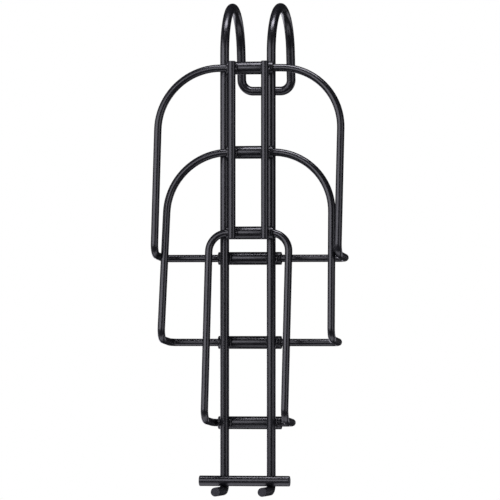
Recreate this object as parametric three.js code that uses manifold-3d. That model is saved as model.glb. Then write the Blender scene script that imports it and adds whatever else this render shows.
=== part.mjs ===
// Hang-on folding rack: a steel rod frame hooks over a rail or panel, and three hoops swing out from it
// together as shelves, because two thin link rods tie them into a parallelogram.
// Units are millimetres. +X runs across the rack, +Y points towards what it hangs on, and +Z is up.
// The origin is midway between the two hooks, on the underside of their crests.
// The rack is built folded, which is joint angle zero for every pivot.

import * as THREE from 'three';
import { mergeVertices } from 'three/addons/utils/BufferGeometryUtils.js';
import Module from 'manifold-3d';

const wasm = await Module();
wasm.setup();

// Stock that the rack is cut from.
const MAIN_ROD = 12;
const HOOP_ROD = 10;
const FOOT_BAR_ROD = 14;
const SLEEVE_OUTER = 17.2;
const SLEEVE_BORE = 13.2;

// Air left between pieces that are welded together or rest on each other.
const GAP = 0.3;

// Main frame: two rails, a hook on top of each, a U behind the hooks and a prong under each rail.
const RAIL_SPACING = 63;
const HOOK_RADIUS = 64;
const HOOK_FLARE = THREE.MathUtils.degToRad(7.3);
const HOOK_SPLAY = 2.5;
const BACK_BAR_DROP = 103;
const BACK_BAR_CORNER = 15;
const PRONG_DROP = 640;
const PRONG_REACH = 65;
const PRONG_BEND = 12;
const FOOT_BAR_LENGTH = 122;
const FOOT_BAR_SHIFT = -2;

// Swinging hoops. A drop is measured down from the origin.
const PIVOT_DROPS = { upper: 331, middle: 443, lower: 550 };
const HOOP_FOOT_HALF_WIDTHS = { upper: 123.5, middle: 114.5, lower: 54 };
const HOOP_TOP_HALF_WIDTHS = { upper: 123.5, middle: 110, lower: 54 };
const HOOP_TOP_BENDS = { upper: 82, middle: 82, lower: 25 };
const HOOP_SIDE_PLAY = { upper: 6.5, middle: 6.5, lower: 4.5 };
const HOOP_RISE = 252.5;
const EAR_DIP = 4;
const EAR_BEND = 14;
const CROSS_ROD_BEND = 10;
const HOOP_BUTT_GAP = 2;
const PIVOT_SLEEVE_LENGTH = 85;

// Link that ties the tops of the hoops together.
const LINK_SLEEVE_LENGTH = 63;
const LINK_ROD_SPACING = 44.5;
const LINK_ROD_OVERRUN = { top: 9, bottom: 8 };
const LINK_SIDE_PLAY = 6;

// Weld beads, as half extents of the blob of metal laid at each crossing.
const BEAD_HALF = { across: 9, deep: 4.5, along: 5.5 };

const ROD_SIDES = { main: 14, hoop: 12, bar: 16, sleeve: 24 };
const BEND_STEP = THREE.MathUtils.degToRad(15);

// Positions worked out from the sizes above.
const RAIL_Y = -HOOK_RADIUS;
const HOOK_CENTRE_Z = -(HOOK_RADIUS - MAIN_ROD / 2);
const RAIL_TO_SLEEVE = MAIN_ROD / 2 + SLEEVE_OUTER / 2 + GAP;
const PIVOT_Y = RAIL_Y + RAIL_TO_SLEEVE;
const LINK_SLEEVE_Y = RAIL_Y - RAIL_TO_SLEEVE;
const LINK_ROD_Y = LINK_SLEEVE_Y - (SLEEVE_OUTER / 2 + HOOP_ROD / 2 + GAP);
const RAIL_TO_FOOT_BAR = MAIN_ROD / 2 + FOOT_BAR_ROD / 2 + GAP;
const FOOT_BAR_Y = RAIL_Y - RAIL_TO_FOOT_BAR;
const FOOT_BAR_Z = -PRONG_DROP + RAIL_TO_FOOT_BAR;

// The ears reach forward from the pivot to the legs, and dip a little on the way. When the hoops are level
// their legs lie on the foot bar, which sets how far the legs stand from the pivot, and the legs' length and
// lean follow from where the link sleeves rest.
const EAR_LENGTH = -PIVOT_DROPS.lower - (FOOT_BAR_Z + FOOT_BAR_ROD / 2) - HOOP_ROD / 2 - GAP;
const HOOP_TOP_FORWARD = PIVOT_Y - LINK_SLEEVE_Y;
const LEG_LENGTH = Math.sqrt(HOOP_RISE ** 2 + HOOP_TOP_FORWARD ** 2 - EAR_LENGTH ** 2);
const LEG_LEAN = Math.atan2(EAR_LENGTH, LEG_LENGTH) - Math.atan2(HOOP_TOP_FORWARD, HOOP_RISE);

const LEVELS = ['upper', 'middle', 'lower'];
const SIDES = { left: -1, right: 1 };

function corner(x, y, z, bend = 0) {
  return { point: new THREE.Vector3(x, y, z), bend };
}

// Centre line of a bent rod: straight runs between corner points, with an arc of the given bend radius
// at each corner. It has stations only at the ends of the runs and along the arcs, and a sweep along it
// has one cross-section at each station.
class BentRodLine extends THREE.Curve {
  constructor(corners) {
    super();
    this.stations = [];
    this.addStation(corners[0].point, direction(corners[0], corners[1]));
    for (let i = 1; i < corners.length - 1; i++) {
      this.addBend(corners[i], direction(corners[i - 1], corners[i]), direction(corners[i], corners[i + 1]));
    }
    const last = corners.length - 1;
    this.addStation(corners[last].point, direction(corners[last - 1], corners[last]));
  }

  addStation(point, tangent) {
    const previous = this.stations.at(-1);
    if (previous && previous.point.distanceTo(point) < 0.01) {
      return;
    }
    this.stations.push({ point: point.clone(), tangent: tangent.clone() });
  }

  addBend({ point, bend }, into, out) {
    const turn = into.angleTo(out);
    const inward = out.clone().addScaledVector(into, -into.dot(out)).normalize();
    const start = point.clone().addScaledVector(into, -bend * Math.tan(turn / 2));
    const steps = Math.ceil(turn / BEND_STEP);
    for (let i = 0; i <= steps; i++) {
      const angle = turn * i / steps;
      const place = start.clone()
        .addScaledVector(into, bend * Math.sin(angle))
        .addScaledVector(inward, bend * (1 - Math.cos(angle)));
      const tangent = into.clone().multiplyScalar(Math.cos(angle)).addScaledVector(inward, Math.sin(angle));
      this.addStation(place, tangent);
    }
  }

  get steps() {
    return this.stations.length - 1;
  }

  getPointAt(u, target = new THREE.Vector3()) {
    return target.copy(this.stations[Math.round(u * this.steps)].point);
  }

  getTangentAt(u, target = new THREE.Vector3()) {
    return target.copy(this.stations[Math.round(u * this.steps)].tangent);
  }
}

function direction(from, to) {
  return to.point.clone().sub(from.point).normalize();
}

function bentRod(corners, diameter, sides) {
  const section = new THREE.Shape();
  section.absarc(0, 0, diameter / 2, 0, 2 * Math.PI);
  const line = new BentRodLine(corners);
  return new THREE.ExtrudeGeometry(section, { extrudePath: line, steps: line.steps, curveSegments: sides / 2 });
}

// A straight rod along X, centred on its own origin.
function rodAcross(diameter, length, sides) {
  return new THREE.CylinderGeometry(diameter / 2, diameter / 2, length, sides).rotateZ(Math.PI / 2);
}

// A straight upright rod, centred on its own origin.
function uprightRod(diameter, length, sides) {
  return new THREE.CylinderGeometry(diameter / 2, diameter / 2, length, sides).rotateX(Math.PI / 2);
}

// A cut length of tube along X, open at both ends.
function sleeveAcross(length) {
  const wall = [
    [SLEEVE_BORE / 2, -length / 2],
    [SLEEVE_OUTER / 2, -length / 2],
    [SLEEVE_OUTER / 2, length / 2],
    [SLEEVE_BORE / 2, length / 2],
    [SLEEVE_BORE / 2, -length / 2],
  ];
  const profile = wall.map(([radius, height]) => new THREE.Vector2(radius, height));
  return new THREE.LatheGeometry(profile, ROD_SIDES.sleeve).rotateZ(Math.PI / 2);
}

// One rod makes the whole main frame: prong, rail, hook and back leg on one side, the back bar across,
// and the same again on the other side.
function mainFrameSide(side) {
  const railX = side * RAIL_SPACING / 2;
  const legX = railX + side * HOOK_SPLAY;
  const crestZ = HOOK_CENTRE_Z + HOOK_RADIUS;
  const flareBend = Math.PI / 2 - HOOK_FLARE;
  const backY = HOOK_RADIUS * Math.tan(flareBend / 2);
  const backBarY = backY + (crestZ + BACK_BAR_DROP) * Math.tan(HOOK_FLARE);
  return [
    corner(railX, RAIL_Y - PRONG_REACH, -PRONG_DROP),
    corner(railX, RAIL_Y, -PRONG_DROP, PRONG_BEND),
    corner(railX, RAIL_Y, crestZ, HOOK_RADIUS),
    corner(legX, backY, crestZ, HOOK_RADIUS),
    corner(legX, backBarY, -BACK_BAR_DROP, BACK_BAR_CORNER),
  ];
}

function mainFrameRod(diameter) {
  const corners = [...mainFrameSide(SIDES.left), ...mainFrameSide(SIDES.right).reverse()];
  return bentRod(corners, diameter, ROD_SIDES.main);
}

// A hoop before it leans: the cross rod lies on the origin's X axis, the ears reach towards -Y and dip a little,
// and the legs stand along +Z and close in where the top is narrower than the foot. Its rod starts and ends at
// a butt joint in the middle of the cross rod.
function hoopRod(level) {
  const footX = HOOP_FOOT_HALF_WIDTHS[level];
  const topX = HOOP_TOP_HALF_WIDTHS[level];
  const half = (side) => [
    corner(side * HOOP_BUTT_GAP / 2, 0, 0),
    corner(side * footX, 0, 0, CROSS_ROD_BEND),
    corner(side * footX, -EAR_LENGTH, -EAR_DIP, EAR_BEND),
    corner(side * topX, -EAR_LENGTH, LEG_LENGTH, HOOP_TOP_BENDS[level]),
  ];
  return bentRod([...half(SIDES.left), ...half(SIDES.right).reverse()], HOOP_ROD, ROD_SIDES.hoop);
}

function solid(geometry) {
  const bare = geometry.clone();
  bare.deleteAttribute('normal');
  bare.deleteAttribute('uv');
  const merged = mergeVertices(bare, 1e-4);
  return new wasm.Manifold(new wasm.Mesh({
    numProp: 3,
    vertProperties: new Float32Array(merged.attributes.position.array),
    triVerts: new Uint32Array(merged.index.array),
  }));
}

function geometryOf(manifold) {
  const { vertProperties, triVerts } = manifold.getMesh();
  const geometry = new THREE.BufferGeometry();
  geometry.setAttribute('position', new THREE.BufferAttribute(new Float32Array(vertProperties), 3));
  geometry.setIndex(new THREE.BufferAttribute(new Uint32Array(triVerts), 1));
  geometry.computeVertexNormals();
  return geometry;
}

// A weld bead between two rods: a blob of metal around their point of contact, hollowed by both of them.
// The rods are given a gap fatter than they are, placed about that point.
function weldBead(fatRods) {
  const blob = new THREE.SphereGeometry(1, 12, 8);
  blob.rotateX(Math.PI / 2).scale(BEAD_HALF.across, BEAD_HALF.deep, BEAD_HALF.along);
  const bead = fatRods.reduce((metal, rod) => metal.subtract(solid(rod)), solid(blob));
  return geometryOf(bead);
}

// The bead where an upright rod crosses in front of a sleeve.
function sleeveBead(uprightDiameter) {
  const upright = uprightRod(uprightDiameter + 2 * GAP, 4 * BEAD_HALF.along, ROD_SIDES.bar);
  upright.translate(0, -(uprightDiameter + GAP) / 2, 0);
  const across = rodAcross(SLEEVE_OUTER + 2 * GAP, 4 * BEAD_HALF.across, ROD_SIDES.bar);
  across.translate(0, (SLEEVE_OUTER + GAP) / 2, 0);
  return weldBead([upright, across]);
}

// The bead where the foot bar crosses in front of a rail, just above the bend of the prong.
function footBead(contact) {
  const frame = mainFrameRod(MAIN_ROD + 2 * GAP).translate(-contact.x, -contact.y, -contact.z);
  const across = rodAcross(FOOT_BAR_ROD + 2 * GAP, 4 * BEAD_HALF.across, ROD_SIDES.bar);
  across.translate(0, -(FOOT_BAR_ROD + GAP) / 2, 0);
  return weldBead([frame, across]);
}

function powderCoat(color) {
  return new THREE.MeshStandardMaterial({ color, roughness: 0.42, metalness: 0.2 });
}

function piece(name, geometry, material, x, y, z) {
  const mesh = new THREE.Mesh(geometry, material);
  mesh.name = name;
  mesh.position.set(x, y, z);
  return mesh;
}

function frameGroup(coat, weldCoat) {
  const group = new THREE.Group();
  group.add(piece('main_frame', mainFrameRod(MAIN_ROD), coat, 0, 0, 0));
  const footBar = rodAcross(FOOT_BAR_ROD, FOOT_BAR_LENGTH, ROD_SIDES.bar);
  group.add(piece('foot_bar', footBar, coat, FOOT_BAR_SHIFT, FOOT_BAR_Y, FOOT_BAR_Z));
  for (const level of LEVELS) {
    const sleeve = sleeveAcross(PIVOT_SLEEVE_LENGTH);
    group.add(piece(`pivot_sleeve_${level}`, sleeve, coat, 0, PIVOT_Y, -PIVOT_DROPS[level]));
  }
  const contactOffset = (MAIN_ROD + GAP) / 2;
  for (const [side, sign] of Object.entries(SIDES)) {
    const railX = sign * RAIL_SPACING / 2;
    for (const level of LEVELS) {
      const name = `weld_pivot_${level}_${side}`;
      group.add(piece(name, sleeveBead(MAIN_ROD), weldCoat, railX, RAIL_Y + contactOffset, -PIVOT_DROPS[level]));
    }
    const contact = new THREE.Vector3(railX, RAIL_Y - contactOffset, FOOT_BAR_Z);
    group.add(piece(`weld_foot_${side}`, footBead(contact), weldCoat, ...contact));
  }
  return group;
}

function hoopGroup(level, coat) {
  const group = new THREE.Group();
  group.position.set(HOOP_SIDE_PLAY[level], PIVOT_Y, -PIVOT_DROPS[level]);
  group.rotation.x = -LEG_LEAN;
  group.add(piece(`hoop_${level}`, hoopRod(level), coat, 0, 0, 0));
  return group;
}

function linkGroup(coat, weldCoat) {
  const group = new THREE.Group();
  group.position.set(LINK_SIDE_PLAY, LINK_SLEEVE_Y, 0);
  const topZ = HOOP_RISE - PIVOT_DROPS.upper + LINK_ROD_OVERRUN.top;
  const bottomZ = HOOP_RISE - PIVOT_DROPS.lower - LINK_ROD_OVERRUN.bottom;
  const rodY = LINK_ROD_Y - LINK_SLEEVE_Y;
  const contactY = -(SLEEVE_OUTER + GAP) / 2;
  for (const level of LEVELS) {
    const sleeve = sleeveAcross(LINK_SLEEVE_LENGTH);
    group.add(piece(`link_sleeve_${level}`, sleeve, coat, 0, 0, HOOP_RISE - PIVOT_DROPS[level]));
  }
  for (const [side, sign] of Object.entries(SIDES)) {
    const rodX = sign * LINK_ROD_SPACING / 2;
    const rod = uprightRod(HOOP_ROD, topZ - bottomZ, ROD_SIDES.hoop);
    group.add(piece(`link_rod_${side}`, rod, coat, rodX, rodY, (topZ + bottomZ) / 2));
    for (const level of LEVELS) {
      const z = HOOP_RISE - PIVOT_DROPS[level];
      group.add(piece(`weld_link_${level}_${side}`, sleeveBead(HOOP_ROD), weldCoat, rodX, contactY, z));
    }
  }
  return group;
}

const blackCoat = powderCoat(0x1b1c20);
const weldCoat = powderCoat(0x151619);
const rack = new THREE.Group();
rack.add(frameGroup(blackCoat, weldCoat));
for (const level of LEVELS) {
  rack.add(hoopGroup(level, blackCoat));
}
rack.add(linkGroup(blackCoat, weldCoat));

export default rack;
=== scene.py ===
# %% [markdown]
# # A folding rack of powder-coated steel rod
#
# This lesson finishes a rack that hangs on a rail by two hooks. Three hoops swing out of it as shelves.
# Its moving design is already made: a imported model gives every part its place, and this script only
# gives each part its finished shape and surface. Blender works in metres, and the imported model does too.
#
# The first step loads that model. Each part arrives as a plain faceted mesh, joined to the body that it
# moves with. The size of the whole is noted here.

# %% Load the imported rack
import math

import bpy
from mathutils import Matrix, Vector


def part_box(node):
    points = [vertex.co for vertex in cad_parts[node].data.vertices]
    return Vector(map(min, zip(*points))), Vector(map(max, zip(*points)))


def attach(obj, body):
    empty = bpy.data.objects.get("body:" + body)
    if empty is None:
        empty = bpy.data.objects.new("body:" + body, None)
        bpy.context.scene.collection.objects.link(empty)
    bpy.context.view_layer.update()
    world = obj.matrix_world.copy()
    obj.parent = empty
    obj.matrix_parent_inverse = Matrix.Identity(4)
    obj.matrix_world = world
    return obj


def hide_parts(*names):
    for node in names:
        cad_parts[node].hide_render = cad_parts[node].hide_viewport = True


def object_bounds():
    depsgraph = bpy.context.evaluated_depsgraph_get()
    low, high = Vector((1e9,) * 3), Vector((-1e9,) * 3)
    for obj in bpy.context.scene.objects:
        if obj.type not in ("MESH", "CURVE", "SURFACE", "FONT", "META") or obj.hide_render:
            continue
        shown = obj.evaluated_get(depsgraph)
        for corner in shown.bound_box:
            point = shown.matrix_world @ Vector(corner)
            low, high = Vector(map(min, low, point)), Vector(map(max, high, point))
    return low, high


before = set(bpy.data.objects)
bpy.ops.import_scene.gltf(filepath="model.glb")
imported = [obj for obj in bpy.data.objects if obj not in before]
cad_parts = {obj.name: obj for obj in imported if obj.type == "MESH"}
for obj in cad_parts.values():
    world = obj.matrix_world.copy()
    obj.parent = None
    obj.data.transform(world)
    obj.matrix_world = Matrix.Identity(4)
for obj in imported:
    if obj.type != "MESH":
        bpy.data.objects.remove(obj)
cad_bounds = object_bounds()
print("parts:", len(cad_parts))

# %% [markdown]
# ## Sizes
#
# The rack is bent from round steel bar: 12 mm for the frame, 10 mm for the hoops and the links, and 14 mm for
# the foot bar. Short pieces of tube are its pivots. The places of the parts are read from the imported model.
# Only what a bounding box can't tell is written here: thickness, bends and the few slants. Sizes are in
# millimetres, the unit of a bending plan, and `MM` turns them to metres. A bend radius runs to the middle of
# the bar.
#
# The origin is the spot where the rack hangs: the inside of the hooks, under their crest. The rails stand one
# bend radius in front of it.

# %% Stock and bend sizes
MM = 0.001
LEVELS = ("upper", "middle", "lower")
SIDES = {"left": -1, "right": 1}

MAIN_ROD = 12 * MM
HOOP_ROD = 10 * MM
FOOT_BAR = 14 * MM
SLEEVE_OUTER = 17.2 * MM
SLEEVE_BORE = 13.2 * MM

HOOK_BEND = 64 * MM
HOOK_FLARE = math.radians(7.3)
HOOK_SPLAY = 2.5 * MM
BACK_BAR_BEND = 15 * MM
PRONG_BEND = 12 * MM
HOOP_TOP_BENDS = {"upper": 82 * MM, "middle": 82 * MM, "lower": 25 * MM}
HOOP_TAPERS = {"upper": 0, "middle": 4.5 * MM, "lower": 0}
EAR_BEND = 14 * MM
EAR_DIP = 4 * MM
CROSS_ROD_BEND = 10 * MM
BUTT_GAP = 2 * MM


def box_centre(node):
    low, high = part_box(node)
    return (low + high) / 2


def box_size(node):
    low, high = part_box(node)
    return high - low


RAIL_X = box_centre("weld_foot_right").x
RAIL_Y = -HOOK_BEND
frame_low, frame_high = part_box("main_frame")
print(f"rails {2 * RAIL_X / MM:.1f} mm apart, frame {(frame_high.z - frame_low.z) / MM:.0f} mm tall")

# %% [markdown]
# ## Two small helpers
#
# Paint colours are known as sRGB hex values, as on a screen, and Blender calculates with linear light, so one
# function turns the first into the second. Its constants are those of the sRGB standard. A second function
# adds a node to any node tree, sets its options, and fills or links its inputs. Every material and every
# geometry tree below is made with it, which keeps each tree readable from top to bottom.

# %% Colour and node helpers
POWDER_BLACK = "#0e0e12"


def linear_colour(hex_code):
    parts = [int(hex_code[i:i + 2], 16) / 255 for i in (1, 3, 5)]
    linear = [p / 12.92 if p <= 0.04045 else ((p + 0.055) / 1.055) ** 2.4 for p in parts]
    return (*linear, 1.0)


def add_node(tree, kind, inputs=None, **settings):
    node = tree.nodes.new(kind)
    for name, value in settings.items():
        setattr(node, name, value)
    for name, value in (inputs or {}).items():
        if isinstance(value, bpy.types.NodeSocket):
            tree.links.new(value, node.inputs[name])
        else:
            node.inputs[name].default_value = value
    return node


print("powder black in linear light:", [round(c, 4) for c in linear_colour(POWDER_BLACK)[:3]])

# %% [markdown]
# ## The finish: satin black powder coat
#
# The real rack is sprayed with dry polyester powder and baked. The powder melts and flows, but never quite
# flat: it keeps an orange-peel skin, with dimples 1 to 2 mm apart, and here and there a nib, where dust was
# caught under the coat. The result is a dark, slightly blue grey-black with a satin gloss. It shows mostly as
# the long soft streaks of light along each rod.
#
# One colour with one roughness would look like moulded plastic. What tells a powder coat from plastic is how
# its gloss wanders, so here the roughness and the bumps carry the finish, and the colour hardly changes.
# All of it is placed by Object coordinates, so the sizes below are real ones and nothing slides.

# %% The skin of the coat
WAVE_SIZE = 14 * MM
WAVE_DETAIL = 1.0
PEEL_DETAIL = 2.5
# Real grains of powder are too fine to show. These are drawn ten times as coarse, and very shallow.
GRAIN_SIZE = 0.5 * MM
GRAIN_DEPTH = 0.0012 * MM
GRAIN_DETAIL = 1.0
# There is one nib in each cell. Core and rim are shares of the cell, so a nib is about a millimetre wide.
NIB_SPACING = 14 * MM
NIB_CORE, NIB_RIM = 0.02, 0.05
NIB_HEIGHT = 0.08 * MM


def bumps(tree, place, size, depth, detail, below=None):
    noise = add_node(tree, "ShaderNodeTexNoise", {"Vector": place, "Scale": 1 / size, "Detail": detail})
    inputs = {"Height": noise.outputs["Fac"], "Distance": depth}
    if below:
        inputs["Normal"] = below.outputs["Normal"]
    return add_node(tree, "ShaderNodeBump", inputs)


def coat_skin(tree, place, peel_size, peel_depth, wave_depth):
    # Slow waves bend the streaks of light, the orange peel frays their edges, and the grain dulls them.
    waves = bumps(tree, place, WAVE_SIZE, wave_depth, WAVE_DETAIL)
    peel = bumps(tree, place, peel_size, peel_depth, PEEL_DETAIL, below=waves)
    grain = bumps(tree, place, GRAIN_SIZE, GRAIN_DEPTH, GRAIN_DETAIL, below=peel)

    # The cells fill space, so only the few whose nib lies at the surface leave a mark on it.
    cells = add_node(tree, "ShaderNodeTexVoronoi", {"Vector": place, "Scale": 1 / NIB_SPACING})
    nib = add_node(tree, "ShaderNodeMapRange", {"Value": cells.outputs["Distance"], "From Min": NIB_CORE,
                                                "From Max": NIB_RIM, "To Min": 1.0, "To Max": 0.0},
                   interpolation_type="SMOOTHSTEP")
    nibs = add_node(tree, "ShaderNodeBump", {"Height": nib.outputs["Result"], "Distance": NIB_HEIGHT,
                                             "Normal": grain.outputs["Normal"]})
    return nibs.outputs["Normal"]


print(f"waves {WAVE_SIZE / MM:.0f} mm, grain {GRAIN_SIZE / MM:.1f} mm, nib cells {NIB_SPACING / MM:.0f} mm")

# %% [markdown]
# One function makes the whole coat, because all the steel has the same paint. Two noises are multiplied: a
# slow one for the stretches where the spray passed closer or further away, and a small one for the mottle
# inside them. Their product shifts colour and gloss together, as the thickness of a real coat does.
#
# A Mix node has a set of sockets for each kind of value, all with the same names, so its colour sockets are
# picked by number.

# %% Powder coat
DRIFT_SIZE = 45 * MM
DRIFT_DETAIL = 3.0
MOTTLE_SIZE = 4 * MM
MOTTLE_DETAIL = 2.0
TONE_LOW, TONE_HIGH = 0.12, 0.42
COLOUR_A, COLOUR_B, COLOUR_OUT = 6, 7, 2
COAT_IOR = 1.5


def powder_coat(name, base, shade, gloss, **skin):
    material = bpy.data.materials.new(name)
    material.use_nodes = True
    tree = material.node_tree
    tree.nodes.clear()
    place = add_node(tree, "ShaderNodeTexCoord").outputs["Object"]

    drift = add_node(tree, "ShaderNodeTexNoise",
                     {"Vector": place, "Scale": 1 / DRIFT_SIZE, "Detail": DRIFT_DETAIL})
    mottle = add_node(tree, "ShaderNodeTexNoise",
                      {"Vector": place, "Scale": 1 / MOTTLE_SIZE, "Detail": MOTTLE_DETAIL})
    tone = add_node(tree, "ShaderNodeMath", {0: drift.outputs["Fac"], 1: mottle.outputs["Fac"]},
                    operation="MULTIPLY")
    tone_range = add_node(tree, "ShaderNodeMapRange", {"Value": tone.outputs[0], "From Min": TONE_LOW,
                                                       "From Max": TONE_HIGH})
    colour = add_node(tree, "ShaderNodeMix",
                      {"Factor": tone_range.outputs["Result"], COLOUR_A: linear_colour(shade),
                       COLOUR_B: linear_colour(base)}, data_type="RGBA")
    roughness = add_node(tree, "ShaderNodeMapRange", {"Value": tone.outputs[0], "From Min": TONE_LOW,
                                                      "From Max": TONE_HIGH, "To Min": gloss[0],
                                                      "To Max": gloss[1]})
    shader = add_node(tree, "ShaderNodeBsdfPrincipled",
                      {"Base Color": colour.outputs[COLOUR_OUT], "Roughness": roughness.outputs["Result"],
                       "Normal": coat_skin(tree, place, **skin), "IOR": COAT_IOR})
    add_node(tree, "ShaderNodeOutputMaterial", {"Surface": shader.outputs["BSDF"]})
    return material


print(f"colour and gloss drift over {DRIFT_SIZE / MM:.0f} mm, mottle {MOTTLE_SIZE / MM:.0f} mm")

# %% [markdown]
# The pieces differ in how the powder lay on them. On smooth drawn bar and on tube the peel is wide and
# shallow. Over a rough weld bead the coat runs together, so it is glossier, with deep waves. On a sawn end it
# lies thin over the saw marks, which makes it greyer and duller.

# %% The four coats
THIN_BLACK = "#07070a"

rod_coat = powder_coat("satin_powder_coat_on_bar", base=POWDER_BLACK, shade=THIN_BLACK, gloss=(0.24, 0.34),
                       peel_size=2.0 * MM, peel_depth=0.006 * MM, wave_depth=0.04 * MM)
sleeve_coat = powder_coat("satin_powder_coat_on_tube", base=POWDER_BLACK, shade=THIN_BLACK,
                          gloss=(0.26, 0.36), peel_size=1.6 * MM, peel_depth=0.007 * MM,
                          wave_depth=0.04 * MM)
weld_coat = powder_coat("thick_powder_coat_on_weld", base=POWDER_BLACK, shade="#08080a", gloss=(0.18, 0.30),
                        peel_size=1.2 * MM, peel_depth=0.05 * MM, wave_depth=0.15 * MM)
end_coat = powder_coat("powder_coat_on_sawn_end", base="#1c1c22", shade="#131318", gloss=(0.36, 0.46),
                       peel_size=0.9 * MM, peel_depth=0.03 * MM, wave_depth=0.05 * MM)
print("coats:", rod_coat.name, sleeve_coat.name, weld_coat.name, end_coat.name)

# %% [markdown]
# ## Helpers for Geometry Nodes
#
# The rods, tubes and weld beads follow rules, so a tree makes each kind, and a change of one size remakes
# them all. `new_tree` starts a tree with named inputs. `smooth_and_coat` ends it: instances become real mesh,
# the faces are shaded smooth, and the coat is put on.

# %% Begin and end a tree
HALF = 0.5


def new_tree(name, inputs):
    tree = bpy.data.node_groups.new(name, "GeometryNodeTree")
    tree.interface.new_socket("Geometry", in_out="INPUT", socket_type="NodeSocketGeometry")
    for label, kind in inputs.items():
        tree.interface.new_socket(label, in_out="INPUT", socket_type=kind)
    tree.interface.new_socket("Geometry", in_out="OUTPUT", socket_type="NodeSocketGeometry")
    return tree, tree.nodes.new("NodeGroupInput").outputs


def smooth_and_coat(tree, geometry, coat):
    real = add_node(tree, "GeometryNodeRealizeInstances", {"Geometry": geometry})
    smooth = add_node(tree, "GeometryNodeSetShadeSmooth",
                      {"Geometry": real.outputs["Geometry"], "Shade Smooth": True})
    coated = add_node(tree, "GeometryNodeSetMaterial",
                      {"Geometry": smooth.outputs["Geometry"], "Material": coat})
    return coated.outputs["Geometry"]


rod_tree, rod_inputs = new_tree("bent rod", {
    "Diameter": "NodeSocketFloat", "Sides": "NodeSocketInt", "Bend Steps": "NodeSocketInt",
    "Coat": "NodeSocketMaterial", "End Coat": "NodeSocketMaterial"})
print("inputs of the bent-rod tree:", ", ".join(socket.name for socket in rod_inputs if socket.name))

# %% [markdown]
# ## A tree for bent rods
#
# A bar bender works from a short plan: where the corners are and what radius each is bent to. A hand-drawn
# curve could give the same shape, but every handle would have to be moved when a size changes. So the tree
# works as the bender does. Its plan is a chain of points with a `bend_radius` on each. It turns the chain
# into a curve, rounds every corner with Fillet Curve, and sweeps a circle along it.
#
# The faces along a rod have four corners and the two flat ends have many, so the ends are easy to select:
# they get the coat of a sawn end and stay flat. A Bevel modifier after the tree softens their rims, as a
# thick coat of paint does. A Compare node's sockets for whole numbers are picked by number.

# %% Build the bent-rod tree
SIDE_FACE_CORNERS = 4
WHOLE_A, WHOLE_B = 2, 3

line = add_node(rod_tree, "GeometryNodeMeshToCurve", {"Mesh": rod_inputs["Geometry"]})
bend = add_node(rod_tree, "GeometryNodeInputNamedAttribute", {"Name": "bend_radius"}, data_type="FLOAT")
rounded = add_node(rod_tree, "GeometryNodeFilletCurve",
                   {"Curve": line.outputs["Curve"], "Count": rod_inputs["Bend Steps"],
                    "Radius": bend.outputs["Attribute"], "Limit Radius": False}, mode="POLY")
radius = add_node(rod_tree, "ShaderNodeMath", {0: rod_inputs["Diameter"], 1: HALF}, operation="MULTIPLY")
section = add_node(rod_tree, "GeometryNodeCurvePrimitiveCircle",
                   {"Resolution": rod_inputs["Sides"], "Radius": radius.outputs[0]})
swept = add_node(rod_tree, "GeometryNodeCurveToMesh",
                 {"Curve": rounded.outputs["Curve"], "Profile Curve": section.outputs["Curve"],
                  "Fill Caps": True})
corners = add_node(rod_tree, "GeometryNodeInputMeshFaceNeighbors").outputs["Vertex Count"]
is_end = add_node(rod_tree, "FunctionNodeCompare", {WHOLE_A: corners, WHOLE_B: SIDE_FACE_CORNERS},
                  data_type="INT", operation="GREATER_THAN")
coated_rod = smooth_and_coat(rod_tree, swept.outputs["Mesh"], rod_inputs["Coat"])
flat_ends = add_node(rod_tree, "GeometryNodeSetShadeSmooth",
                     {"Geometry": coated_rod, "Selection": is_end.outputs["Result"], "Shade Smooth": False})
coated_ends = add_node(rod_tree, "GeometryNodeSetMaterial",
                       {"Geometry": flat_ends.outputs["Geometry"], "Selection": is_end.outputs["Result"],
                        "Material": rod_inputs["End Coat"]})
add_node(rod_tree, "NodeGroupOutput", {"Geometry": coated_ends.outputs["Geometry"]})
print("bent-rod tree:", len(rod_tree.nodes), "nodes")

# %% [markdown]
# A modifier's inputs are known by their identifiers, so `use_tree` looks each name up first. `settle` then
# turns the result into a plain mesh: it evaluates the object once and drops the modifiers. The finished
# object sits at the origin with its place in its mesh, so a pattern on Object coordinates stays put.
#
# `hand_over` settles a piece, ties it to the body that it rides on, and hides the plain parts that it
# stands in for.

# %% Run a tree and hand its result over


def new_object(name, points, edges=()):
    mesh = bpy.data.meshes.new(name + "_plan")
    mesh.from_pydata([tuple(p) for p in points], list(edges), [])
    obj = bpy.data.objects.new(name, mesh)
    bpy.context.scene.collection.objects.link(obj)
    return obj


def use_tree(obj, tree, values):
    modifier = obj.modifiers.new(tree.name, "NODES")
    modifier.node_group = tree
    for item in tree.interface.items_tree:
        if item.in_out == "INPUT" and item.name in values:
            modifier[item.identifier] = values[item.name]


def settle(obj):
    bpy.context.view_layer.update()
    evaluated = obj.evaluated_get(bpy.context.evaluated_depsgraph_get())
    mesh = bpy.data.meshes.new_from_object(evaluated)
    mesh.name = obj.name
    obj.modifiers.clear()
    plan = obj.data
    obj.data = mesh
    bpy.data.meshes.remove(plan)


def hand_over(obj, body, nodes):
    settle(obj)
    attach(obj, body)
    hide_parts(*nodes)
    triangles = sum(len(face.vertices) - 2 for face in obj.data.polygons)
    print(f"{obj.name}: {triangles} triangles, {[round(side / MM) for side in obj.dimensions]} mm")


# %% [markdown]
# ## Rods from a plan
#
# `bent_rod` takes a plan: a list of corner places, each with its bend radius, 0 at the two ends. It makes the
# chain of points, runs the tree and bevels the rims of the ends by under a millimetre. With forty sides and
# smooth shading a rod looks round even from close by.

# %% Make a rod from a plan
ROD_SIDES = 40
BEND_STEPS = 22
RIM_ROUNDING = 0.9 * MM
RIM_STEPS = 4
RIM_ANGLE = math.radians(60)


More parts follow.
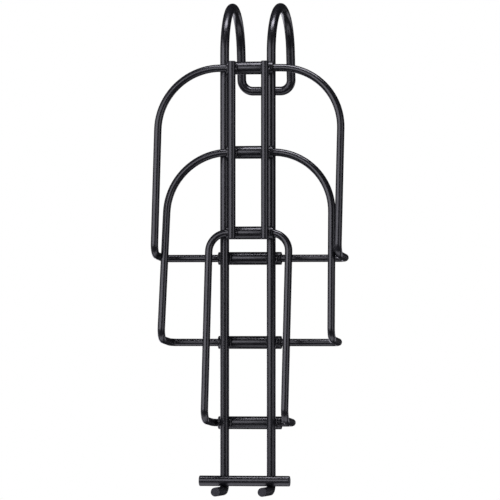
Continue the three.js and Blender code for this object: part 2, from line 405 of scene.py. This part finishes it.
def bent_rod(name, plan, diameter, body, node):
    places = [place for place, _ in plan]
    obj = new_object(name, places, [(i, i + 1) for i in range(len(plan) - 1)])
    radii = obj.data.attributes.new("bend_radius", "FLOAT", "POINT")
    radii.data.foreach_set("value", [bend_radius for _, bend_radius in plan])
    use_tree(obj, rod_tree, {"Diameter": diameter, "Sides": ROD_SIDES, "Bend Steps": BEND_STEPS,
                             "Coat": rod_coat, "End Coat": end_coat})
    rims = obj.modifiers.new("rims", "BEVEL")
    rims.width = RIM_ROUNDING
    rims.segments = RIM_STEPS
    rims.limit_method = "ANGLE"
    rims.angle_limit = RIM_ANGLE
    hand_over(obj, body, [node])


print(f"rods have {ROD_SIDES} sides and {BEND_STEPS} steps in each bend")

# %% [markdown]
# ## The main frame
#
# One bar makes the whole frame. It starts at the tip of a prong, turns up into a rail, goes over in a hook,
# comes down behind, crosses over in the back bar, and does the same in mirror image on the other side. The
# back legs flare away from the rails, which makes the hooks easier to drop over a rail.
#
# A hook could be a half circle with straight legs added, but then the flare would need a second bend. In a
# plan it is one long bend as two corners at crest height: a right angle, and then what the flare leaves of a
# second one. A bend starts away from its corner by its radius times the tangent of half the angle that it
# turns, so both bends meet at y = 0. A hair of slack keeps them from overlapping there.

# %% Bend the main frame
CREST_Z = frame_high.z - MAIN_ROD / 2
PRONG_Z = frame_low.z + MAIN_ROD / 2
BACK_BAR_Z = -103 * MM
TANGENT_SLACK = 0.02 * MM


def frame_side(sign):
    rail_x = sign * RAIL_X
    leg_x = rail_x + sign * HOOK_SPLAY
    back_y = HOOK_BEND * math.tan((math.pi / 2 - HOOK_FLARE) / 2) + TANGENT_SLACK
    back_bar_y = back_y + (CREST_Z - BACK_BAR_Z) * math.tan(HOOK_FLARE)
    return [
        ((rail_x, frame_low.y, PRONG_Z), 0.0),
        ((rail_x, RAIL_Y, PRONG_Z), PRONG_BEND),
        ((rail_x, RAIL_Y, CREST_Z), HOOK_BEND),
        ((leg_x, back_y, CREST_Z), HOOK_BEND),
        ((leg_x, back_bar_y, BACK_BAR_Z), BACK_BAR_BEND),
    ]


frame_plan = frame_side(SIDES["left"]) + frame_side(SIDES["right"])[::-1]
bent_rod("main_frame_bar", frame_plan, MAIN_ROD, "frame", "main_frame")

# %% [markdown]
# ## The hoops
#
# Each hoop is a bar bent right round until its ends meet inside the pivot sleeve, where nobody sees the
# joint. From there the bar runs along the cross rod, forward through an ear, up a leg and over the top, and
# back the same way in mirror image. The ears dip a little towards their front corners, and the legs of the
# middle hoop close in by its taper.
#
# The legs lean back when the rack is folded, and that lean could be measured, but it follows from the way the
# rack works. The ear length comes from the foot bar, on which the lower hoop's legs lie when it is down. Ear
# and leg stand at a right angle, and the line from pivot to link sleeve closes the triangle. The leg length
# and the lean are then whatever brings the tops to rest on the fronts of the rails.

# %% Bend the hoops
PIVOT_Y = box_centre("pivot_sleeve_upper").y
LINK_SLEEVE_Y = box_centre("link_sleeve_upper").y
FOOT_BAR_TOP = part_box("foot_bar")[1].z
STOP_GAP = 0.3 * MM
EAR_LENGTH = box_centre("pivot_sleeve_lower").z - FOOT_BAR_TOP - HOOP_ROD / 2 - STOP_GAP
HOOP_RISE = box_centre("link_sleeve_upper").z - box_centre("pivot_sleeve_upper").z
TOP_FORWARD = PIVOT_Y - LINK_SLEEVE_Y
LEG_LENGTH = math.sqrt(HOOP_RISE ** 2 + TOP_FORWARD ** 2 - EAR_LENGTH ** 2)
LEG_LEAN = math.atan2(EAR_LENGTH, LEG_LENGTH) - math.atan2(TOP_FORWARD, HOOP_RISE)


def hoop_plan(level):
    pivot = box_centre(f"pivot_sleeve_{level}")
    middle_x = box_centre(f"hoop_{level}").x
    foot_x = (box_size(f"hoop_{level}").x - HOOP_ROD) / 2
    top_x = foot_x - HOOP_TAPERS[level]
    forward = Vector((0, -math.cos(LEG_LEAN), math.sin(LEG_LEAN)))
    upward = Vector((0, math.sin(LEG_LEAN), math.cos(LEG_LEAN)))

    def corner(across, along_ear, along_leg, bend_radius):
        place = Vector((middle_x + across, pivot.y, pivot.z)) + along_ear * forward + along_leg * upward
        return place, bend_radius

    def half(sign):
        return [
            corner(sign * BUTT_GAP / 2, 0, 0, 0.0),
            corner(sign * foot_x, 0, 0, CROSS_ROD_BEND),
            corner(sign * foot_x, EAR_LENGTH, -EAR_DIP, EAR_BEND),
            corner(sign * top_x, EAR_LENGTH, LEG_LENGTH, HOOP_TOP_BENDS[level]),
        ]

    return half(SIDES["left"]) + half(SIDES["right"])[::-1]


for level in LEVELS:
    bent_rod(f"hoop_{level}_bar", hoop_plan(level), HOOP_ROD, f"hoop_{level}", f"hoop_{level}")
print(f"ears {EAR_LENGTH / MM:.1f} mm, legs lean {math.degrees(LEG_LEAN):.1f} degrees")

# %% [markdown]
# ## Straight bars
#
# The foot bar and the two link rods are cut lengths with no bend at all. A cylinder would do, but the same
# tree makes them with the same ends and the same paint: a plan of two points is a straight rod. Its place and
# its length are those of the plain part that it stands in for.

# %% Cut the straight bars
ALONG_X, ALONG_Z = 0, 2


def straight_rod(name, node, axis, diameter, body):
    middle = box_centre(node)
    reach = Vector([side / 2 if i == axis else 0 for i, side in enumerate(box_size(node))])
    bent_rod(name, [(middle - reach, 0.0), (middle + reach, 0.0)], diameter, body, node)


straight_rod("foot_bar_rod", "foot_bar", ALONG_X, FOOT_BAR, "frame")
for side in SIDES:
    straight_rod(f"link_rod_{side}_bar", f"link_rod_{side}", ALONG_Z, HOOP_ROD, "link")

# %% [markdown]
# ## Pivot and link sleeves
#
# Six short pieces of tube are the only bearings: the hoops simply turn in them. A tube could be a cylinder
# with a second one cut out of it, but a cut leaves hard edges, and the paint rounds them. So the tube is
# turned on a lathe instead: a small rectangle, the section of its wall, has its corners filleted and is
# carried once round a circle. The wall is half the difference of the two diameters, and the circle has the
# radius of the wall's middle, a quarter of their sum.

# %% Build the sleeve tree
SLEEVE_SIDES = 56
SLEEVE_EDGE = 0.45 * MM
SLEEVE_EDGE_STEPS = 4
QUARTER = 0.25
QUARTER_TURN = math.pi / 2

tube_tree, tube_inputs = new_tree("cut tube", {
    "Outer Diameter": "NodeSocketFloat", "Bore": "NodeSocketFloat", "Length": "NodeSocketFloat",
    "Edge Rounding": "NodeSocketFloat", "Coat": "NodeSocketMaterial"})
diameters = {0: tube_inputs["Outer Diameter"], 1: tube_inputs["Bore"]}
difference = add_node(tube_tree, "ShaderNodeMath", diameters, operation="SUBTRACT")
wall = add_node(tube_tree, "ShaderNodeMath", {0: difference.outputs[0], 1: HALF}, operation="MULTIPLY")
total = add_node(tube_tree, "ShaderNodeMath", diameters, operation="ADD")
wall_radius = add_node(tube_tree, "ShaderNodeMath", {0: total.outputs[0], 1: QUARTER}, operation="MULTIPLY")
ring = add_node(tube_tree, "GeometryNodeCurvePrimitiveCircle",
                {"Resolution": SLEEVE_SIDES, "Radius": wall_radius.outputs[0]})
wall_box = add_node(tube_tree, "GeometryNodeCurvePrimitiveQuadrilateral",
                    {"Width": wall.outputs[0], "Height": tube_inputs["Length"]})
wall_round = add_node(tube_tree, "GeometryNodeFilletCurve",
                      {"Curve": wall_box.outputs["Curve"], "Count": SLEEVE_EDGE_STEPS,
                       "Radius": tube_inputs["Edge Rounding"]}, mode="POLY")
tube = add_node(tube_tree, "GeometryNodeCurveToMesh",
                {"Curve": ring.outputs["Curve"], "Profile Curve": wall_round.outputs["Curve"]})
tube_lying = add_node(tube_tree, "GeometryNodeTransform",
                      {"Geometry": tube.outputs["Mesh"], "Rotation": (0, QUARTER_TURN, 0)})
tubes = add_node(tube_tree, "GeometryNodeInstanceOnPoints",
                 {"Points": tube_inputs["Geometry"], "Instance": tube_lying.outputs["Geometry"]})
coated_tubes = smooth_and_coat(tube_tree, tubes.outputs["Instances"], tube_inputs["Coat"])
add_node(tube_tree, "NodeGroupOutput", {"Geometry": coated_tubes})
print("cut-tube tree:", len(tube_tree.nodes), "nodes")

# %% [markdown]
# The three pivot sleeves are welded to the rails and the three link sleeves to the link rods. The sleeves of
# one body are alike, so each family is one object: a point for each sleeve, and the tube instanced on it.

# %% Cut the sleeves
for family, body in (("pivot", "frame"), ("link", "link")):
    nodes = [f"{family}_sleeve_{level}" for level in LEVELS]
    sleeves = new_object(f"{family}_sleeve_tubes", [box_centre(node) for node in nodes])
    use_tree(sleeves, tube_tree, {"Outer Diameter": SLEEVE_OUTER, "Bore": SLEEVE_BORE,
                                  "Length": box_size(nodes[0]).x, "Edge Rounding": SLEEVE_EDGE,
                                  "Coat": sleeve_coat})
    hand_over(sleeves, body, nodes)

# %% [markdown]
# ## Weld beads
#
# Where a rod crosses a sleeve they touch only at a point, so the welder fills the notch on each side of the
# rod with a short upright bead: a row of drops that froze one over the other. A smooth fillet would look
# machined, and a sculpted bead would be the same in every notch. So the beads are made as the welder makes
# them, drop by drop.
#
# First come the drops' places: a short upright line of points to the left and to the right of each crossing,
# each point moved a little by a fixed seed. A Random Value node has a pair of sockets for each kind of value,
# and they are picked by number.

# %% Place the drops of the beads
DROP_WANDER = Vector((0.5, 0.35, 0.35)) * MM
LOWER = -1.0
VECTOR_MIN, VECTOR_MAX, VECTOR_OUT = 0, 1, 0

bead_tree, bead_inputs = new_tree("weld beads", {
    "Notch": "NodeSocketFloat", "Drop Size": "NodeSocketFloat", "Height": "NodeSocketFloat",
    "Drops": "NodeSocketInt", "Seed": "NodeSocketInt", "Coat": "NodeSocketMaterial"})
bead_half = add_node(bead_tree, "ShaderNodeMath", {0: bead_inputs["Height"], 1: HALF}, operation="MULTIPLY")
bead_low = add_node(bead_tree, "ShaderNodeMath", {0: bead_half.outputs[0], 1: LOWER}, operation="MULTIPLY")
low_end = add_node(bead_tree, "ShaderNodeCombineXYZ", {"Z": bead_low.outputs[0]})
high_end = add_node(bead_tree, "ShaderNodeCombineXYZ", {"Z": bead_half.outputs[0]})
# With END_POINTS the socket called Offset takes the place of the last point.
drop_line = add_node(bead_tree, "GeometryNodeMeshLine",
                     {"Count": bead_inputs["Drops"], "Start Location": low_end.outputs["Vector"],
                      "Offset": high_end.outputs["Vector"]}, mode="END_POINTS")
both_lines = add_node(bead_tree, "GeometryNodeJoinGeometry")
for sign in SIDES.values():
    notch = add_node(bead_tree, "ShaderNodeMath", {0: bead_inputs["Notch"], 1: sign}, operation="MULTIPLY")
    shift = add_node(bead_tree, "ShaderNodeCombineXYZ", {"X": notch.outputs[0]})
    side_line = add_node(bead_tree, "GeometryNodeTransform",
                         {"Geometry": drop_line.outputs["Mesh"], "Translation": shift.outputs["Vector"]})
    bead_tree.links.new(side_line.outputs["Geometry"], both_lines.inputs["Geometry"])
crossings = add_node(bead_tree, "GeometryNodeInstanceOnPoints",
                     {"Points": bead_inputs["Geometry"], "Instance": both_lines.outputs["Geometry"]})
drop_points = add_node(bead_tree, "GeometryNodeRealizeInstances",
                       {"Geometry": crossings.outputs["Instances"]})
jitter = add_node(bead_tree, "FunctionNodeRandomValue",
                  {VECTOR_MIN: -DROP_WANDER, VECTOR_MAX: DROP_WANDER, "Seed": bead_inputs["Seed"]},
                  data_type="FLOAT_VECTOR")
loose_points = add_node(bead_tree, "GeometryNodeSetPosition",
                        {"Geometry": drop_points.outputs["Geometry"], "Offset": jitter.outputs[VECTOR_OUT]})
print("sockets for the beads:", ", ".join(socket.name for socket in bead_inputs if socket.name))

# %% [markdown]
# On each point goes a drop: a ball that has been flattened, turned and sized a little differently every time.
# Mesh to Volume and Volume to Mesh then melt the drops of a bead into one closed skin, which a union of the
# balls would not do, because it would leave a sharp crease between each two.

# %% Melt the drops into beads
DROP_SUBDIVISIONS = 3
DROP_SHAPE = (1.0, 0.95, 0.55)
DROP_LEAN = (0.35, 0.25)
DROP_SCALE = (0.84, 1.12)
NUMBER_MIN, NUMBER_MAX, NUMBER_OUT = 2, 3, 1
MELT_STEP = 0.35 * MM
MELT_BAND = 1.2 * MM
SKIN_STEP = 0.4 * MM
SKIN_LEVEL = 0.1

ball = add_node(bead_tree, "GeometryNodeMeshIcoSphere",
                {"Radius": bead_inputs["Drop Size"], "Subdivisions": DROP_SUBDIVISIONS})
drop = add_node(bead_tree, "GeometryNodeTransform", {"Geometry": ball.outputs["Mesh"], "Scale": DROP_SHAPE})
tilt = add_node(bead_tree, "FunctionNodeRandomValue",
                {VECTOR_MIN: (-DROP_LEAN[0], -DROP_LEAN[1], 0.0), VECTOR_MAX: (*DROP_LEAN, math.pi),
                 "Seed": bead_inputs["Seed"]}, data_type="FLOAT_VECTOR")
drop_scale = add_node(bead_tree, "FunctionNodeRandomValue",
                      {NUMBER_MIN: DROP_SCALE[0], NUMBER_MAX: DROP_SCALE[1], "Seed": bead_inputs["Seed"]},
                      data_type="FLOAT")
drops = add_node(bead_tree, "GeometryNodeInstanceOnPoints",
                 {"Points": loose_points.outputs["Geometry"], "Instance": drop.outputs["Geometry"],
                  "Rotation": tilt.outputs[VECTOR_OUT], "Scale": drop_scale.outputs[NUMBER_OUT]})
solid_drops = add_node(bead_tree, "GeometryNodeRealizeInstances", {"Geometry": drops.outputs["Instances"]})
molten = add_node(bead_tree, "GeometryNodeMeshToVolume",
                  {"Mesh": solid_drops.outputs["Geometry"], "Voxel Size": MELT_STEP,
                   "Interior Band Width": MELT_BAND}, resolution_mode="VOXEL_SIZE")
skin = add_node(bead_tree, "GeometryNodeVolumeToMesh",
                {"Volume": molten.outputs["Volume"], "Voxel Size": SKIN_STEP, "Threshold": SKIN_LEVEL},
                resolution_mode="VOXEL_SIZE")
coated_beads = smooth_and_coat(bead_tree, skin.outputs["Mesh"], bead_inputs["Coat"])
add_node(bead_tree, "NodeGroupOutput", {"Geometry": coated_beads})
print("weld-bead tree:", len(bead_tree.nodes), "nodes")

# %% [markdown]
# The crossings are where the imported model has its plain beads, so the points come from there. The notch lies
# as far to each side as the rod's own radius, less a little, so that the bead bites into the steel. Each kind
# of crossing is a family with its own drop size, height and seed: the thicker the rod, the bigger the drops.

# %% Lay the weld beads
BEAD_OVERLAP = 0.3 * MM
DROPS_PER_BEAD = 5


def weld_family(name, nodes, rod, drop, height, seed, body):
    beads = new_object(name, [box_centre(node) for node in nodes])
    use_tree(beads, bead_tree, {"Notch": rod / 2 - BEAD_OVERLAP, "Drop Size": drop, "Height": height,
                                "Drops": DROPS_PER_BEAD, "Seed": seed, "Coat": weld_coat})
    hand_over(beads, body, nodes)


pivot_welds = [f"weld_pivot_{level}_{side}" for level in LEVELS for side in SIDES]
link_welds = [f"weld_link_{level}_{side}" for level in LEVELS for side in SIDES]
foot_welds = [f"weld_foot_{side}" for side in SIDES]
weld_family("pivot_weld_beads", pivot_welds, MAIN_ROD, drop=3.0 * MM, height=7.5 * MM, seed=3, body="frame")
weld_family("foot_weld_beads", foot_welds, MAIN_ROD, drop=2.8 * MM, height=6.5 * MM, seed=5, body="frame")
weld_family("link_weld_beads", link_welds, HOOP_ROD, drop=2.5 * MM, height=7.0 * MM, seed=8, body="link")

# %% [markdown]
# ## Studio: floor
#
# A black rack is shown best on a plain pale ground. The floor is made to look like a matt white sheet some
# way below the prongs. Lamps alone would leave bright and dark patches on so wide a sheet, so most of its
# brightness is an even glow of its own, over a dark grey that gives back little of their light. It stays out
# of the glossy reflections, because the lights below draw those. The studio is measured in metres.

# %% Floor
FLOOR_GAP = 0.32
FLOOR_HALF = 7
FLOOR_GLOW = 0.88
FLOOR_ROUGHNESS = 0.9
FLOOR_GREY = "#444444"
PLAIN_WHITE = "#ffffff"

floor_material = bpy.data.materials.new("matt_white_studio_floor")
floor_material.use_nodes = True
floor_shader = floor_material.node_tree.nodes["Principled BSDF"]
floor_shader.inputs["Base Color"].default_value = linear_colour(FLOOR_GREY)
floor_shader.inputs["Roughness"].default_value = FLOOR_ROUGHNESS
floor_shader.inputs["Specular IOR Level"].default_value = 0.0
floor_shader.inputs["Emission Color"].default_value = linear_colour(PLAIN_WHITE)
floor_shader.inputs["Emission Strength"].default_value = FLOOR_GLOW
floor_z = frame_low.z - FLOOR_GAP
floor_corners = [(x * FLOOR_HALF, y * FLOOR_HALF, floor_z)
                 for x, y in ((-1, -1), (1, -1), (1, 1), (-1, 1))]
floor_mesh = bpy.data.meshes.new("floor")
floor_mesh.from_pydata(floor_corners, [], [(0, 1, 2, 3)])
floor_mesh.materials.append(floor_material)
floor = bpy.data.objects.new("floor", floor_mesh)
bpy.context.scene.collection.objects.link(floor)
floor.visible_glossy = False
print(f"floor {FLOOR_GAP / MM:.0f} mm under the rack")

# %% [markdown]
# ## Studio: lights
#
# Black gloss shows nothing but its surroundings, so the lights draw the rack. A wide softbox at the front
# left puts the main streak on every upright, and a second one at the right gives the thinner streak there.
# A small strip between them, a little above the camera, only shows along the level bars and sleeves. Two low
# ones behind do the same for the back. A lamp close overhead whitens the tops of the cross rods and arches,
# most of all near the hooks. A weak lamp under the rack is the light that comes back from the floor.
#
# A box's radiance is how bright it looks in a mirror, where plain white is 1. The power that Blender asks for
# is that radiance times pi times the area of the box. Places are angles about the rack, in degrees: azimuth 0
# is the front and grows to the right.

# %% Lights
COOL_WHITE = "#f4f2ff"

rack_middle = (Vector(cad_bounds[0]) + Vector(cad_bounds[1])) / 2
rack_top = Vector((0, RAIL_Y, 0))


def aimed(obj, place, target):
    obj.location = place
    obj.rotation_euler = (Vector(target) - Vector(place)).to_track_quat("-Z", "Y").to_euler()
    bpy.context.scene.collection.objects.link(obj)


def direction_of(azimuth, elevation):
    a = math.radians(azimuth)
    e = math.radians(elevation)
    return Vector((math.sin(a) * math.cos(e), -math.cos(a) * math.cos(e), math.sin(e)))


def softbox(name, azimuth, elevation, distance, size, radiance, target=rack_middle):
    width, height = size
    light = bpy.data.lights.new(name, "AREA")
    light.shape = "RECTANGLE"
    light.size = width
    light.size_y = height
    light.energy = radiance * math.pi * width * height
    light.color = linear_colour(COOL_WHITE)[:3]
    lamp = bpy.data.objects.new(name, light)
    lamp.visible_camera = False
    aimed(lamp, target + distance * direction_of(azimuth, elevation), target)
    print(f"{name}: {light.energy:.0f} W, {width} by {height} m")


softbox("left_softbox", azimuth=-37.5, elevation=12, distance=2.4, size=(2.8, 1.5), radiance=3.1)
softbox("right_softbox", azimuth=58, elevation=8, distance=2.4, size=(1.45, 1.6), radiance=1.85)
softbox("front_strip", azimuth=-11, elevation=13, distance=2.4, size=(0.5, 0.6), radiance=2.2)
softbox("back_left_softbox", azimuth=-146, elevation=-18, distance=2.6, size=(1.5, 1.5), radiance=2.2)
softbox("back_right_softbox", azimuth=140, elevation=-18, distance=2.6, size=(1.0, 1.5), radiance=1.5)
softbox("overhead_lamp", azimuth=12, elevation=74, distance=0.75, size=(0.7, 0.24), radiance=18.0,
        target=rack_top)
softbox("floor_bounce", azimuth=0, elevation=-77, distance=0.62, size=(1.2, 0.4), radiance=1.9)

# %% [markdown]
# The room around is a world of its own. Looked at directly it is plain white. In the reflections it is dim,
# which leaves a dark line down the middle of each rod. Its left wall is a little brighter, which lifts the
# left edge of each upright from the black, and the wall behind the rack is darker still.

# %% Room
ROOM_DIM = 0.08
ROOM_WALL = 0.36
WALL_STARTS, WALL_FULL = -0.6, -0.95
BACK_SHARE = 0.4
BACK_STARTS, BACK_FULL = 0.2, 0.8

world = bpy.data.worlds.new("studio")
world.use_nodes = True
bpy.context.scene.world = world
world_tree = world.node_tree
world_tree.nodes.clear()
world_place = add_node(world_tree, "ShaderNodeTexCoord").outputs["Object"]
direction = add_node(world_tree, "ShaderNodeSeparateXYZ", {0: world_place})
left_wall = add_node(world_tree, "ShaderNodeMapRange",
                     {"Value": direction.outputs["X"], "From Min": WALL_STARTS, "From Max": WALL_FULL,
                      "To Min": ROOM_DIM, "To Max": ROOM_WALL}, interpolation_type="SMOOTHSTEP")
back_wall = add_node(world_tree, "ShaderNodeMapRange",
                     {"Value": direction.outputs["Y"], "From Min": BACK_STARTS, "From Max": BACK_FULL,
                      "To Min": 1.0, "To Max": BACK_SHARE}, interpolation_type="SMOOTHSTEP")
room_light = add_node(world_tree, "ShaderNodeMath", {0: left_wall.outputs["Result"],
                                                     1: back_wall.outputs["Result"]}, operation="MULTIPLY")
rays = add_node(world_tree, "ShaderNodeLightPath")
dim_room = add_node(world_tree, "ShaderNodeBackground",
                    {"Color": linear_colour(COOL_WHITE), "Strength": room_light.outputs[0]})
white_room = add_node(world_tree, "ShaderNodeBackground", {"Color": linear_colour(PLAIN_WHITE)})
room = add_node(world_tree, "ShaderNodeMixShader",
                {0: rays.outputs["Is Camera Ray"], 1: dim_room.outputs[0], 2: white_room.outputs[0]})
add_node(world_tree, "ShaderNodeOutputWorld", {"Surface": room.outputs[0]})
print(f"room {ROOM_DIM} dim, left wall {ROOM_WALL}, back wall {ROOM_DIM * BACK_SHARE:.3f}")

# %% [markdown]
# ## Studio: camera
#
# The camera stands a little to the right of the rack and at its middle height. It could stand close with a
# short lens, but then the near bars would look thicker than the far ones. So it is far away, with a lens long
# enough that the rack just fills the height of the view. It looks at a spot between the rails, half-way down.

# %% Camera
CAMERA_AZIMUTH = 10.9
CAMERA_ELEVATION = -0.75
CAMERA_DISTANCE = 7.3
VIEW_HEIGHT = 0.665
SENSOR = 36
AIM = Vector((0.0028, RAIL_Y, -0.320))

camera_data = bpy.data.cameras.new("camera")
camera_data.sensor_width = SENSOR
camera_data.lens = SENSOR * CAMERA_DISTANCE / VIEW_HEIGHT
camera = bpy.data.objects.new("camera", camera_data)
aimed(camera, AIM + CAMERA_DISTANCE * direction_of(CAMERA_AZIMUTH, CAMERA_ELEVATION), AIM)
bpy.context.scene.camera = camera
bpy.context.scene.view_settings.view_transform = "Standard"
print(f"lens {camera_data.lens:.0f} mm at {CAMERA_DISTANCE} m")

# %% [markdown]
# ## The size of the imported rack
#
# The box of the imported rack, noted at the start, is printed in millimetres.

# %% Print the size of the imported rack
print("CAD   ", [[round(v / MM, 1) for v in corner] for corner in cad_bounds])
